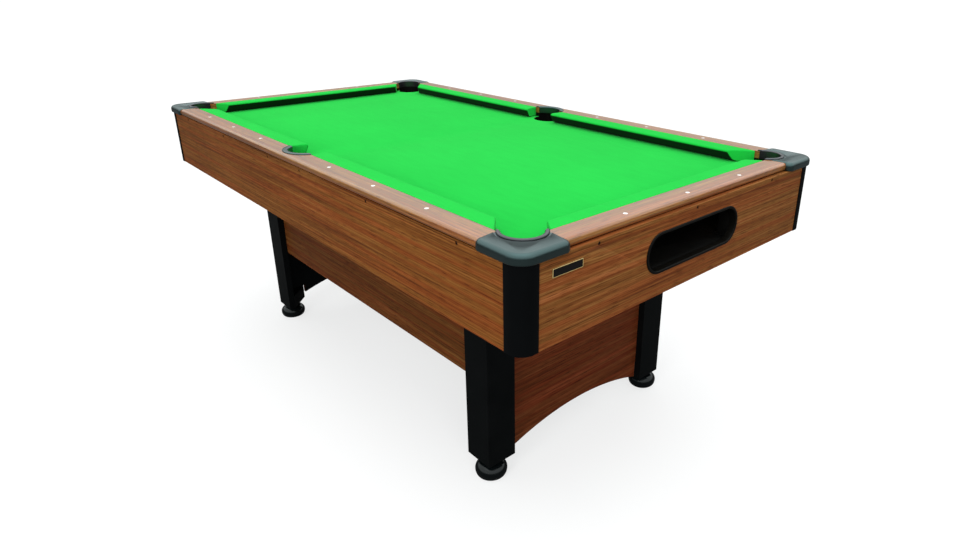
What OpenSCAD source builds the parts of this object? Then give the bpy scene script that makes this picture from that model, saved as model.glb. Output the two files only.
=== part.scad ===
// Pool table with an internal ball return and four levelling feet.
// Frame: +X along the length towards the ball-return end, +Y to the back
// long side, +Z up. The origin is on the floor at the table's centre.

/* [Overall] */
// Length over the end aprons
table_l = 1980; // [1500:10:2600]
// Width over the side aprons
table_w = 1079; // [900:5:1500]
// Height of the wooden rail tops above the floor
rail_top_z = 815.5; // [700:0.5:900]

/* [Rails] */
// Thickness of a rail board, and the diameter of its rounded outer edge
rail_t = 21; // [15:0.5:28]
// How far the rails stand out past the aprons
rail_over = 3; // [0:0.5:8]
// Width of a side rail's wooden top
side_rail_w = 58.5; // [50:0.5:90]
// Width of an end rail's wooden top
end_rail_w = 69.5; // [55:0.5:95]
// Diameter of a sight dot
sight_d = 10; // [6:0.5:14]
// Distance between sights, an eighth of the playing length
sight_step = 219.4; // [150:0.2:300]
// Distance from an apron's face to its row of sights
sight_in = 31.5; // [25:0.5:40]
// Depth that a sight is let into the rail
sight_deep = 1.2; // [0.8:0.1:3]

/* [Cushions and bed] */
// Height of the rail tops above the cloth
rail_rise = 34; // [28:0.5:42]
// Width of a side cushion, from the rail to its nose
side_cushion_w = 53.5; // [40:0.5:60]
// Width of an end cushion, from the rail to its nose
end_cushion_w = 46; // [40:0.5:60]
// Height of the cushion nose below the rail top
nose_drop = 4.5; // [2:0.5:8]
// How far a cushion's foot lies behind its nose
cushion_cut = 14; // [8:1:24]
// Thickness of the bed board
bed_t = 18; // [12:1:30]
// Thickness of the cloth
cloth_t = 1.5; // [1:0.1:2]

/* [Pockets] */
// Radius of a corner pocket inside its lip
corner_r = 44; // [34:1:50]
// Corner pocket centre, in from the end apron's face
corner_in_x = 93; // [85:1:110]
// Corner pocket centre, in from the side apron's face
corner_in_y = 89.5; // [80:0.5:105]
// Width of a corner pocket's raised lip
corner_lip_w = 12; // [8:1:14]
// Distance from the corner of play to the tip of a side cushion
side_cushion_tip = 85; // [60:1:100]
// Distance from the corner of play to the tip of an end cushion
end_cushion_tip = 63; // [60:1:100]
// Half width of a side pocket between the cushion tips
side_tip = 62; // [50:1:70]
// Radius of a side pocket's lip, inside
side_r = 59; // [50:1:64]
// Side pocket lip's centre, in from the side apron's face
side_in_y = 84.5; // [80:0.5:100]
// Width of a side pocket's lip
side_lip_w = 16; // [10:1:20]
// Radius of the hole in the bed at a side pocket
side_hole_r = 56; // [48:1:58]
// Side pocket hole's centre, in from the side apron's face
side_hole_in = 54.5; // [50:0.5:70]
// Wall of the plastic pocket cups
cup_wall = 2.5; // [1.5:0.5:4]
// How far the cups hang below the bed
cup_drop = 26; // [15:1:26]

/* [Aprons and corners] */
// Height of the aprons
apron_h = 187; // [150:1:240]
// Thickness of the aprons
apron_t = 15; // [12:1:18]
// Width that a corner post shows on each face
post_w = 46; // [40:1:70]
// Radius of a corner post's outer edge
post_r = 34; // [20:1:38]
// How far a corner post stands out from the aprons
post_over = 1.5; // [0.5:0.5:3]
// Side of the square glue block inside a corner
block_w = 30; // [20:1:30]
// Length of each arm of a corner cap
cap_arm = 127; // [110:1:160]
// How far a corner cap stands out past the aprons
cap_over = 8; // [6:0.5:12]
// Thickness of a corner cap's top
cap_t = 2.5; // [2:0.5:4]
// Radius of a corner cap's outer corner
cap_r = 42; // [25:1:50]
// Height of the pocket lips above the caps
lip_h = 1.8; // [1:0.1:3]

/* [Legs] */
// Distance from the centre to a leg's outer face, along the length
leg_x = 664; // [500:1:900]
// Distance from the centre to a leg's outer face, across the width
leg_y = 361; // [300:1:470]
// Width that a leg shows on each face
leg_w = 92; // [75:1:120]
// Thickness of the leg boards
leg_t = 22; // [16:1:25]
// Height of the leg boards' lower ends above the floor
leg_bottom_z = 51.5; // [51.5:0.5:80]
// Height of the blocks inside the legs
leg_block_h = 50; // [46:1:80]

/* [Leg panels] */
// Thickness of the panels between the legs
panel_t = 15; // [9:1:18]
// Height of a side panel's lower edge above the floor
side_panel_z = 287.5; // [150:0.5:450]
// Height of the return-end panel's arch above the floor, in the middle
arch_z = 100; // [100:1:200]
// Height of the far-end panel's arch above the floor, in the middle
far_arch_z = 126; // [100:1:200]
// How much an arch falls from its middle to the legs
arch_fall = 46; // [20:1:48]

/* [Ball return] */
// Width over the rim of the ball-return opening
return_w = 355; // [250:1:500]
// Height over the rim of the ball-return opening
return_h = 98.5; // [80:0.5:110]
// Height of the opening's middle above the floor
return_z = 712; // [700:0.5:715]
// Width of the rim's face
rim_w = 7; // [4:0.5:10]
// Thickness of the rim in front of the apron
rim_t = 3; // [2:0.5:5]
// Wall of the rim's sleeve
sleeve_t = 2.5; // [1.5:0.5:4]
// Depth of the ball box, from the apron inwards
box_d = 215; // [180:1:300]
// Wall of the ball box
box_t = 6; // [4:1:10]
// Angle that the gullies fall towards the return end
gully_deg = 0.5; // [0.2:0.1:0.6]
// Wall of the gullies and ramps
gully_t = 3; // [2:0.5:4]
// Height of the gully sides above their floor
gully_side = 30; // [20:1:32]
// Depth of the gully floor below the bed at mid length
gully_drop = 71; // [68:1:74]
// Width of a return ramp
ramp_w = 88; // [70:1:100]
// Angle that the return ramps fall towards the ball box
ramp_deg = 1.7; // [1:0.1:2.5]

/* [Frame] */
// Thickness of the stretchers and cross beams
beam_t = 18; // [12:1:25]
// Distance from the centre to a stretcher's outer face
stretcher_y = 418; // [400:1:420]
// Depth of the cross beams under the bed
beam_h = 60; // [40:1:80]
// Width of a leg board
leg_board_w = 140; // [120:1:200]
// Thickness of a leg board
leg_board_t = 18; // [12:1:25]
// How far the leg boards stand above the aprons' lower edge
leg_board_up = 4.5; // [2:0.5:10]

/* [Levelling feet] */
// Radius of a foot pad at its widest
pad_r = 44.3; // [30:0.1:48]
// Height of a foot pad
pad_h = 43; // [38:0.5:43]
// Foot's distance in from the leg's outer faces
foot_in = 33.6; // [33:0.1:40]
// Radius of a foot's threaded stud
stud_r = 5; // [4:0.5:6]
// Length of stud inside the leg with the foot screwed right in
stud_up = 44; // [40:1:60]
// Radial clearance of a stud in its bores
stud_gap = 0.08; // [0.03:0.01:0.1]

/* [Fittings] */
// Width of the name plate
plate_w = 82; // [50:1:100]
// Height of the name plate
plate_h = 18.5; // [10:0.5:24]
// Thickness of the name plate
plate_t = 1.5; // [1:0.5:3]
// Distance from the side apron's face to the middle of the name plate
plate_in = 120.5; // [100:0.5:140]
// Distance from the rail down to the name plate
plate_down = 24; // [15:0.5:30]
// Diameter of a screw head in the aprons
screw_head_d = 8; // [6:0.5:10]

/* [Hidden] */

$fn = 72;
eps = 0.01;          // cutters run this far past the faces that they cut
big = 4000;          // longer than any piece
soft_gap = 0.3;      // a soft or curved face's distance from its neighbour
fit_gap = 0.5;       // clearance of a loose fit
screw_room = 3.5;    // between the gullies and the side aprons
A = table_l/2;
B = table_w/2;
rail_z = rail_top_z - rail_t;
apron_z = rail_z - apron_h;
cloth_z = rail_top_z - rail_rise;
bed_z = cloth_z - cloth_t;
bed_low = bed_z - bed_t;
in_x = A - apron_t;
in_y = B - apron_t;
rail_x = A + rail_over - end_rail_w;     // where wood meets cushion, at the ends
rail_y = B + rail_over - side_rail_w;    // and at the sides
nose_x = rail_x - end_cushion_w;
nose_y = rail_y - side_cushion_w;
corner_x = A - corner_in_x;
corner_y = B - corner_in_y;
side_y = B - side_in_y;
side_hole_y = B - side_hole_in;
hole_r = corner_r + cup_wall - 0.5;      // corner hole in bed and cloth
rail_hole_r = corner_r + cup_wall;       // corner hole in the rails
hole_gap = 0.3;                          // cups stand this far inside the bed's holes
leg_top = apron_z + leg_board_up;
beam_low = leg_top + leg_board_t;        // stretchers stand on the leg boards
foot_x = leg_x - foot_in;
foot_y = leg_y - foot_in;
gully_z = bed_low - gully_drop;
gully_y0 = stretcher_y + 2;
gully_y1 = in_y - screw_room;
gully_x = in_x - block_w - 2;
ramp_x0 = gully_x - ramp_w;
ramp_x1 = gully_x;
box_y = return_w/2 + fit_gap;            // ball box's outer half width
box_floor = return_z - return_h/2 + rim_w - 1;
ramp_mid_y = (gully_y0 + box_y)/2 - 1;
ramp_z = gully_z - gully_x*tan(gully_deg) - gully_t - 2.5;
blocking_gap = 6;
screw_r = 2.25;
screw_len = 34;
screw_z = (cloth_z + rail_z)/2 - 0.5;
collar_r = 10;
pin_low = 14;

// Copies its child to one corner: sx towards the return end, sy to the back.
module at_corner(sx, sy) { mirror([sx < 0 ? 1 : 0, 0, 0]) mirror([0, sy < 0 ? 1 : 0, 0]) children(); }
module all_corners() { for (sx = [-1, 1], sy = [-1, 1]) at_corner(sx, sy) children(); }
// A box from its two opposite corners.
module block(a, b) { translate(a) cube(b - a); }

// Pocket holes through the bed and its cloth.
module bed_holes() {
    all_corners() translate([corner_x, corner_y, bed_low - 1]) cylinder(r = hole_r, h = bed_t + cloth_t + 2);
    for (s = [-1, 1]) translate([0, s*side_hole_y, bed_low - 1]) cylinder(r = side_hole_r, h = bed_t + cloth_t + 2);
}
module bed_board() {
    color("burlywood") difference() {
        block([-in_x, -in_y, bed_low], [in_x, in_y, bed_z]);
        bed_holes();
    }
}
module bed_cloth() {
    color([0.2, 0.9, 0.35]) difference() {
        block([-in_x, -in_y, bed_z], [in_x, in_y, cloth_z]);
        bed_holes();
    }
}

// Section of a rail board: flat inside, full bullnose outside.
module rail_section(w) {
    translate([0, rail_z]) square([w - rail_t/2, rail_t]);
    translate([w - rail_t/2, rail_z + rail_t/2]) circle(d = rail_t);
}
// Mitred plan of a rail along X: outer edge at y1, inner edge at y0.
module rail_plan(x0, x1, y0, y1) {
    translate([0, 0, rail_z - 1]) linear_extrude(rail_t + 2)
        polygon([[-x1, y1], [x1, y1], [x0, y0], [-x0, y0]]);
}
// Outline of all four rails, rounded to fit the corner caps, grown by s.
module rails_outline(s) {
    x = A + rail_over + s;
    y = B + rail_over + s;
    r = cap_r - cap_over + rail_over + s;
    square([2*(x - r), 2*y], center = true);
    square([2*x, 2*(y - r)], center = true);
    for (sx = [-1, 1], sy = [-1, 1]) translate([sx*(x - r), sy*(y - r)]) circle(r = r);
}
module sight_row(count, y, d, h) {
    for (i = [-count:count]) if (count == 1 || i != 0)
        translate([i*sight_step, y, rail_top_z - sight_deep]) cylinder(d = d, h = h);
}
// The back side rail; the front one is its mirror image.
module side_rail() {
    color("peru") difference() {
        intersection() {
            translate([-A - rail_over, rail_y, 0]) rotate([90, 0, 90])
                linear_extrude(2*(A + rail_over)) rail_section(side_rail_w);
            rail_plan(rail_x, A + rail_over, rail_y, B + rail_over);
            translate([0, 0, rail_z - 1]) linear_extrude(rail_t + 2) rails_outline(0);
        }
        for (s = [-1, 1]) translate([s*corner_x, corner_y, rail_z - 1]) cylinder(r = rail_hole_r, h = rail_t + 2);
        translate([0, side_y, rail_z - 1]) cylinder(r = side_r + cup_wall, h = rail_t + 2);
        sight_row(3, B - sight_in, sight_d + 0.1, sight_deep + 1);
    }
}
// The return-end rail; the far one is its mirror image.
module end_rail() {
    color("peru") difference() {
        intersection() {
            translate([rail_x, B + rail_over, 0]) rotate([90, 0, 0])
                linear_extrude(2*(B + rail_over)) rail_section(end_rail_w);
            rotate([0, 0, -90]) rail_plan(rail_y, B + rail_over, rail_x, A + rail_over);
            translate([0, 0, rail_z - 1]) linear_extrude(rail_t + 2) rails_outline(0);
        }
        for (s = [-1, 1]) translate([corner_x, s*corner_y, rail_z - 1]) cylinder(r = rail_hole_r, h = rail_t + 2);
        rotate([0, 0, -90]) sight_row(1, A - sight_in, sight_d + 0.1, sight_deep + 1);
    }
}
module sights() {
    color("white") {
        for (s = [0, 1]) mirror([0, s, 0]) sight_row(3, B - sight_in, sight_d, sight_deep + 0.3);
        for (s = [0, 1]) mirror([s, 0, 0]) rotate([0, 0, -90]) sight_row(1, A - sight_in, sight_d, sight_deep + 0.3);
    }
}

// Strips under the rails, between the pockets. They back the cushions.
side_block_x1 = corner_x - sqrt(pow(hole_r + blocking_gap, 2) - pow(corner_y - rail_y, 2));
side_block_x0 = side_hole_r + blocking_gap;
end_block_y1 = corner_y - sqrt(pow(hole_r + blocking_gap, 2) - pow(corner_x - rail_x, 2));
module rail_blocking() {
    color("burlywood") difference() {
        union() {
            all_corners() block([side_block_x0, rail_y, cloth_z], [side_block_x1, in_y, rail_z]);
            for (s = [0, 1]) mirror([s, 0, 0]) block([rail_x, -end_block_y1, cloth_z], [in_x, end_block_y1, rail_z]);
        }
        screw_places() screw_bore();
    }
}

// Section of a cushion: u runs from the rail to the nose.
module cushion_section(w) {
    polygon([[0, cloth_z + soft_gap], [0, rail_top_z], [w - 9, rail_top_z], [w - 3.5, rail_top_z - 1],
        [w - 0.8, rail_top_z - 2.5], [w, rail_top_z - nose_drop], [w - 1, rail_top_z - nose_drop - 2.5],
        [w - cushion_cut, cloth_z + soft_gap]]);
}
// Plan of a cushion along X from a to b at the nose, widening by ea and eb at the rail.
module cushion_plan(a, b, ea, eb, w) {
    translate([0, 0, cloth_z]) linear_extrude(rail_rise + 1)
        polygon([[a, -w - 1], [b, -w - 1], [b, -w], [b + eb, 0], [a - ea, 0], [a, -w]]);
}
// Against the rails, the cushions end where the lips' outer edges begin.
lip_out_r = corner_r + corner_lip_w;
side_cut_x = corner_x - sqrt(pow(lip_out_r, 2) - pow(corner_y - rail_y, 2));
end_cut_y = corner_y - sqrt(pow(lip_out_r, 2) - pow(corner_x - rail_x, 2));
side_mouth_x = sqrt(pow(side_r + side_lip_w, 2) - pow(side_y - rail_y, 2));
// The back cushion on the return side of the side pocket.
module side_cushion() {
    b = nose_x - side_cushion_tip;
    color([0.2, 0.85, 0.35]) translate([0, rail_y - soft_gap, 0]) intersection() {
        rotate([90, 0, 90]) linear_extrude(A) mirror([1, 0]) cushion_section(side_cushion_w - soft_gap);
        cushion_plan(side_tip, b, side_tip - side_mouth_x, side_cut_x - b, side_cushion_w - soft_gap);
    }
}
module end_cushion() {
    b = nose_y - end_cushion_tip;
    e = end_cut_y - b;
    color([0.2, 0.85, 0.35]) translate([rail_x - soft_gap, 0, 0]) rotate([0, 0, -90]) intersection() {
        translate([-B, 0, 0]) rotate([90, 0, 90]) linear_extrude(2*B) mirror([1, 0])
            cushion_section(end_cushion_w - soft_gap);
        cushion_plan(-b, b, e, e, end_cushion_w - soft_gap);
    }
}

// Outline of a corner cap, set in by s all round its outer edges.
module cap_outline(s) {
    x1 = A + cap_over - s;
    y1 = B + cap_over - s;
    r = cap_r - s;
    e = 8;
    translate([A - cap_arm + s, rail_y]) square([x1 - r - A + cap_arm - s, y1 - rail_y - e]);
    translate([A - cap_arm + s + e, rail_y]) square([x1 - r - A + cap_arm - s - e, y1 - rail_y]);
    translate([A - cap_arm + s + e, y1 - e]) circle(r = e);
    translate([rail_x, B - cap_arm + s]) square([x1 - rail_x - e, y1 - r - B + cap_arm - s]);
    translate([rail_x, B - cap_arm + s + e]) square([x1 - rail_x, y1 - r - B + cap_arm - s - e]);
    translate([x1 - e, B - cap_arm + s + e]) circle(r = e);
    translate([x1 - r, y1 - r]) circle(r = r);
}
// One cap at the back return corner: top, skirt, and the raised pocket lip
// with a collar that lines the hole in the rails.
module corner_cap() {
    soft = 4;
    color([0.45, 0.48, 0.49]) difference() {
        union() {
            difference() {
                union() {
                    translate([0, 0, rail_z]) linear_extrude(rail_t + cap_t - soft) cap_outline(0);
                    translate([0, 0, rail_top_z + cap_t - soft - eps]) linear_extrude(soft/2 + eps) cap_outline(soft/4);
                    translate([0, 0, rail_top_z + cap_t - soft/2 - eps]) linear_extrude(soft/2 + eps) cap_outline(soft*0.8);
                }
                // the room that the rails fill
                translate([0, 0, rail_z - 1]) linear_extrude(rail_t + 1) rails_outline(soft_gap);
            }
            difference() {
                translate([corner_x, corner_y, rail_top_z]) cylinder(r = lip_out_r, h = cap_t + lip_h);
                translate([rail_x - big, rail_y - big, 0]) cube(big);
            }
            // the collar is open towards the table, where the cushions end
            intersection() {
                translate([corner_x, corner_y, rail_z]) cylinder(r = rail_hole_r - hole_gap, h = rail_t + 1);
                translate([corner_x, corner_y, 0]) rotate([0, 0, 45]) translate([-0.3*corner_r, -big/2, 0]) cube(big);
            }
        }
        translate([corner_x, corner_y, rail_z - 1]) cylinder(r = corner_r, h = rail_t + cap_t + lip_h + 2);
    }
}

// U-shaped lip of the back side pocket, with its collar in the rail.
module side_lip() {
    color([0.45, 0.48, 0.49]) intersection() {
        difference() {
            union() {
                translate([0, side_y, rail_top_z]) cylinder(r = side_r + side_lip_w, h = cap_t);
                translate([0, side_y, rail_z]) cylinder(r = side_r + cup_wall - hole_gap, h = rail_t + eps);
            }
            translate([0, side_y, rail_z - 1]) cylinder(r = side_r, h = rail_t + cap_t + 2);
        }
        translate([-A, rail_y, 0]) cube([table_l, side_rail_w, big]);
    }
}

// Cup under a corner pocket: a tube below the bed's surface, half a tube above.
module corner_cup() {
    r1 = hole_r - hole_gap;
    z0 = bed_low - cup_drop;
    translate([corner_x, corner_y, 0]) {
        translate([0, 0, z0]) difference() {
            cylinder(r = r1, h = bed_z - z0);
            translate([0, 0, -1]) cylinder(r = r1 - cup_wall, h = bed_z - z0 + 2);
        }
        translate([0, 0, bed_z - eps]) intersection() {
            difference() {
                cylinder(r = r1, h = rail_z - bed_z + eps);
                translate([0, 0, -1]) cylinder(r = r1 - cup_wall, h = rail_z - bed_z + 2);
            }
            rotate([0, 0, 45]) translate([0.25*corner_r, -big/2, -1]) cube([big, big, big]);
        }
    }
}
// Cup under a side pocket. The apron flattens its outer side.
module side_cup_shape(s) {
    intersection() {
        translate([0, side_hole_y]) circle(r = side_hole_r - hole_gap - s);
        translate([-A, 0]) square([table_l, in_y - hole_gap - s]);
    }
}
module side_cup() {
    z0 = bed_low - cup_drop;
    difference() {
        union() {
            translate([0, 0, z0]) linear_extrude(bed_z - z0) side_cup_shape(0);
            intersection() {
                translate([0, 0, bed_z - eps]) linear_extrude(rail_z - bed_z + eps) side_cup_shape(0);
                translate([-A, rail_y + soft_gap, 0]) cube([table_l, B, big]);
            }
        }
        translate([0, 0, z0 - 1]) linear_extrude(rail_z - z0 + 2) side_cup_shape(cup_wall);
    }
}
module pocket_cups() {
    color([0.12, 0.12, 0.13]) {
        all_corners() corner_cup();
        for (s = [0, 1]) mirror([0, s, 0]) side_cup();
    }
}

// Screws through the aprons into the blocking; x runs along the apron.
side_screw_x = [104, 454, 803];
end_screw_y = [-332, 0, 332];
screw_gap = 0.1;     // round a screw's shank in its bore
head_gap = 0.3;      // round a screw's head in its counterbore
head_sunk = 0.8;
head_h = 2.7;
module screw_places() {
    for (s = [0, 1], t = [-1, 1], x = side_screw_x) mirror([0, s, 0])
        translate([t*min(x, side_block_x1 - 12), B, screw_z]) rotate([90, 0, 0]) children();
    for (s = [0, 1], y = end_screw_y) mirror([s, 0, 0])
        translate([A, y, screw_z]) rotate([0, -90, 0]) children();
}
module screw_bore() {
    translate([0, 0, -1]) cylinder(r = screw_r + screw_gap, h = screw_len + 2);
    translate([0, 0, -1]) cylinder(r = screw_head_d/2 + head_gap, h = head_sunk + head_h + 1);
}
module apron_screws() {
    color([0.1, 0.1, 0.1]) screw_places() {
        translate([0, 0, head_sunk]) cylinder(d = screw_head_d, h = head_h);
        translate([0, 0, head_sunk + head_h - eps]) cylinder(r = screw_r, h = screw_len - head_sunk - head_h);
    }
}

module side_apron() {
    color("sienna") difference() {
        block([-A + post_w, in_y, apron_z], [A - post_w, B, rail_z]);
        screw_places() screw_bore();
    }
}
// Rounded slot of width w and height h, through the return-end apron.
module slot(w, h, x, t) {
    r = h/2 - 2;
    translate([x, 0, return_z]) rotate([90, 0, 90]) linear_extrude(t) {
        for (s = [-1, 1], u = [-1, 1]) translate([s*(w/2 - r), u*(h/2 - r)]) circle(r = r);
        square([w - 2*r, h], center = true);
        square([w, h - 2*r], center = true);
    }
}
module end_apron(opening) {
    color("sienna") difference() {
        block([in_x, -B + post_w, apron_z], [A, B - post_w, rail_z]);
        screw_places() screw_bore();
        if (opening) slot(return_w - 2*rim_w + 2*sleeve_t + fit_gap, return_h - 2*rim_w + 2*sleeve_t + fit_gap, in_x - 1, apron_t + 2);
    }
}
module return_rim() {
    w = return_w - 2*rim_w;
    h = return_h - 2*rim_w;
    color([0.08, 0.08, 0.08]) difference() {
        union() {
            slot(return_w, return_h, A, rim_t);
            slot(w + 2*sleeve_t, h + 2*sleeve_t, in_x, apron_t + eps);
        }
        slot(w, h, in_x - 1, apron_t + rim_t + 2);
    }
}
module name_plate() {
    color([0.1, 0.1, 0.1]) translate([A, plate_in - B - plate_w/2, rail_z - plate_down - plate_h])
        cube([plate_t, plate_w, plate_h]);
}

// Post over a corner, with a rounded outer edge. The aprons butt against it.
module corner_post() {
    x1 = A + post_over;
    y1 = B + post_over;
    color([0.13, 0.14, 0.15]) translate([0, 0, apron_z]) linear_extrude(apron_h) difference() {
        union() {
            translate([A - post_w, B - post_w]) square([post_w + post_over - post_r, post_w + post_over]);
            translate([A - post_w, B - post_w]) square([post_w + post_over, post_w + post_over - post_r]);
            intersection() {
                translate([x1 - post_r, y1 - post_r]) circle(r = post_r);
                translate([A - post_w, B - post_w]) square(big);
            }
        }
        translate([A - post_w - 1, B - post_w - 1]) square([post_w + 1 - apron_t, post_w + 1 - apron_t]);
    }
}
module corner_blocks() {
    color("burlywood") all_corners() block([in_x - block_w, in_y - block_w, apron_z + 6], [in_x, in_y, bed_low]);
}

// Long stretchers under the bed, notched for the cups and the return ramps.
module stretcher() {
    ramp_room = 2;
    color("burlywood") difference() {
        block([-in_x, stretcher_y - beam_t, beam_low], [in_x, stretcher_y, bed_low]);
        block([ramp_x0 - ramp_room, stretcher_y - beam_t - 1, ramp_z - gully_t - ramp_room],
            [ramp_x1 + ramp_room, stretcher_y + 1, ramp_z + 2*gully_side + 10]);
        for (s = [-1, 1]) translate([s*corner_x, corner_y, bed_low - cup_drop - ramp_room]) cylinder(r = hole_r, h = big);
    }
}
beam_x = [-540, 0, 540];
module cross_beams() {
    y = stretcher_y - beam_t;
    color("burlywood") for (x = beam_x) block([x - beam_t/2, -y, bed_low - beam_h], [x + beam_t/2, y, bed_low]);
}
module leg_boards() {
    x = leg_x - leg_w/2;
    color("burlywood") for (s = [-1, 1])
        block([s*x - leg_board_w/2, -in_y, leg_top], [s*x + leg_board_w/2, in_y, beam_low]);
}

// A leg: two boards that meet in an L.
module leg() {
    color([0.08, 0.08, 0.09]) {
        block([leg_x - leg_w, leg_y - leg_t, leg_bottom_z], [leg_x, leg_y, leg_top]);
        block([leg_x - leg_t, leg_y - leg_w, leg_bottom_z], [leg_x, leg_y - leg_t, leg_top]);
    }
}
// Three-cornered block with its square corner at x, y.
module tri_block(x, y, w, z, h) {
    translate([0, 0, z]) linear_extrude(h) polygon([[x, y], [x - w, y], [x, y - w]]);
}
module leg_blocks() {
    w = leg_w - leg_t - 1;
    color([0.08, 0.08, 0.09]) all_corners() {
        difference() {
            tri_block(leg_x - leg_t, leg_y - leg_t, w, leg_bottom_z, leg_block_h);
            translate([foot_x, foot_y, leg_bottom_z - 1]) cylinder(r = insert_r, h = leg_block_h + 2);
            translate([foot_x, foot_y, leg_bottom_z - 1]) cylinder(r = flange_r, h = flange_t + 1);
        }
        tri_block(leg_x - leg_t - panel_t, leg_y - leg_t - panel_t, w - panel_t, leg_top - leg_block_h, leg_block_h);
    }
}
module side_panel() {
    x = leg_x - leg_t;
    color("sienna") block([-x, leg_y - leg_t - panel_t, side_panel_z], [x, leg_y - leg_t, leg_top]);
}
// Panel between two legs with an arched lower edge. It steps in at the foot
// blocks, and fits between the side panels above them.
module end_panel(peak) {
    x1 = leg_x - leg_t;
    x0 = x1 - panel_t;
    y_low = leg_y - leg_w - 0.5;
    y_top = leg_y - leg_t - panel_t;
    arch_r = (y_low*y_low + arch_fall*arch_fall)/(2*arch_fall);
    step_z = leg_bottom_z + leg_block_h + 10;
    color("sienna") difference() {
        union() {
            block([x0, -y_low, peak - arch_fall], [x1, y_low, step_z + 1]);
            block([x0, -y_top, step_z], [x1, y_top, leg_top]);
        }
        translate([x0 - 1, 0, peak - arch_r]) rotate([0, 90, 0]) cylinder(r = arch_r, h = panel_t + 2, $fn = 180);
    }
}

// Open channel along X: inner width w, with the floor's top at z = 0.
module channel(x0, x1, y0, y1, side) {
    difference() {
        block([x0, y0, -gully_t], [x1, y1, side]);
        block([x0 + gully_t, y0 + gully_t, 0], [x1 - gully_t, y1 - gully_t, side + 1]);
    }
}
// The back gully catches the balls from three pockets and runs them to the
// return end, where its inner side is open.
module gully() {
    color([0.2, 0.2, 0.22]) difference() {
        translate([0, 0, gully_z]) rotate([0, gully_deg, 0]) channel(-gully_x, gully_x, gully_y0, gully_y1, gully_side);
        translate([0, 0, gully_z]) rotate([0, gully_deg, 0]) block([ramp_x0 + gully_t, gully_y0 - 1, 0], [ramp_x1 - gully_t, gully_y0 + gully_t + 1, gully_side + 1]);
    }
}
cleat_x = [-850, -300, 250, 780];
module gully_cleats() {
    w = 20;
    color("burlywood") for (s = [0, 1], x = cleat_x) mirror([0, s, 0]) {
        top = gully_z - (x + w/2)*tan(gully_deg) - gully_t/cos(gully_deg) - 0.05;
        block([x - w/2, stretcher_y, top - 22], [x + w/2, in_y, top]);
    }
}
// Ramps that carry the balls inwards from the gullies to the ball box.
module return_ramps() {
    y0 = box_y - box_t/2;
    y1 = gully_y0 - 0.5;
    color([0.2, 0.2, 0.22]) for (s = [0, 1]) mirror([0, s, 0])
        translate([0, y1, ramp_z]) rotate([ramp_deg, 0, 0]) difference() {
            block([ramp_x0, y0 - y1, -gully_t], [ramp_x1, 0, gully_side]);
            block([ramp_x0 + gully_t, y0 - y1 - 1, 0], [ramp_x1 - gully_t, 1, gully_side + 1]);
        }
}
// Box behind the opening, where the balls gather. The bed closes its top.
module ball_box() {
    x0 = in_x - box_d;
    ramp_end = ramp_z - (gully_y0 - box_y)*tan(ramp_deg);
    color([0.1, 0.1, 0.1]) difference() {
        block([x0, -box_y, box_floor - box_t], [in_x, box_y, bed_low]);
        block([x0 + box_t, -box_y + box_t, box_floor], [in_x + 1, box_y - box_t, bed_low + 1]);
        for (s = [0, 1]) mirror([0, s, 0])
            block([ramp_x0 - fit_gap, box_y - box_t - 1, ramp_end - gully_t - 0.6], [ramp_x1 + fit_gap, box_y + 1, ramp_end + gully_side + 25]);
    }
}

// Levelling feet. The stud screws into an insert in the leg's block; its
// collar rests on the pad, which turns on the stud's lower end.
insert_r = stud_r + 3;
flange_r = insert_r + 3;
flange_t = 1.5;
collar_low = pad_h;
collar_high = leg_bottom_z - soft_gap;
module foot_inserts() {
    color("silver") all_corners() translate([foot_x, foot_y, leg_bottom_z]) difference() {
        union() {
            cylinder(r = insert_r - 0.02, h = stud_up - 4);
            cylinder(r = flange_r - 0.02, h = flange_t);
        }
        translate([0, 0, -1]) cylinder(r = stud_r + stud_gap, h = stud_up);
    }
}
module stud() {
    color("silver") translate([foot_x, foot_y, 0]) {
        translate([0, 0, pin_low]) cylinder(r = stud_r, h = leg_bottom_z + stud_up - pin_low);
        translate([0, 0, collar_low]) cylinder(r = collar_r, h = collar_high - collar_low);
    }
}
// Outline of a pad: flat foot, bulging side, domed top.
pad_foot_r = 34;
pad_side_z = 17;
pad_top_r = 13;
module pad() {
    color([0.05, 0.05, 0.06]) translate([foot_x, foot_y, 0]) difference() {
        rotate_extrude() polygon(concat([[0, 0], [pad_foot_r, 0]],
            [for (a = [-60:15:0]) [pad_foot_r + (pad_r - pad_foot_r)*cos(a), pad_side_z*(1 + sin(a)/sin(60)*0.9)]],
            [for (a = [10:10:80]) [pad_top_r + (pad_r - pad_top_r)*cos(a), pad_side_z + (pad_h - pad_side_z)*sin(a)]],
            [[pad_top_r, pad_h], [0, pad_h]]));
        translate([0, 0, pin_low - 1]) cylinder(r = stud_r + stud_gap, h = pad_h);
    }
}

bed_board();
bed_cloth();
mirror([0, 1, 0]) side_rail();  // rail_front
side_rail();  // rail_back
end_rail();  // rail_return_end
mirror([1, 0, 0]) end_rail();  // rail_far_end
rail_blocking();
at_corner(1, -1) side_cushion();  // cushion_front_return
at_corner(-1, -1) side_cushion();  // cushion_front_far
at_corner(1, 1) side_cushion();  // cushion_back_return
at_corner(-1, 1) side_cushion();  // cushion_back_far
end_cushion();  // cushion_return_end
mirror([1, 0, 0]) end_cushion();  // cushion_far_end
at_corner(1, -1) corner_cap();  // corner_cap_front_return
at_corner(1, 1) corner_cap();  // corner_cap_back_return
at_corner(-1, -1) corner_cap();  // corner_cap_front_far
at_corner(-1, 1) corner_cap();  // corner_cap_back_far
mirror([0, 1, 0]) side_lip();  // side_lip_front
side_lip();  // side_lip_back
pocket_cups();
mirror([0, 1, 0]) side_apron();  // apron_front
side_apron();  // apron_back
end_apron(true);  // apron_return_end
mirror([1, 0, 0]) end_apron(false);  // apron_far_end
at_corner(1, -1) corner_post();  // corner_post_front_return
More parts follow.
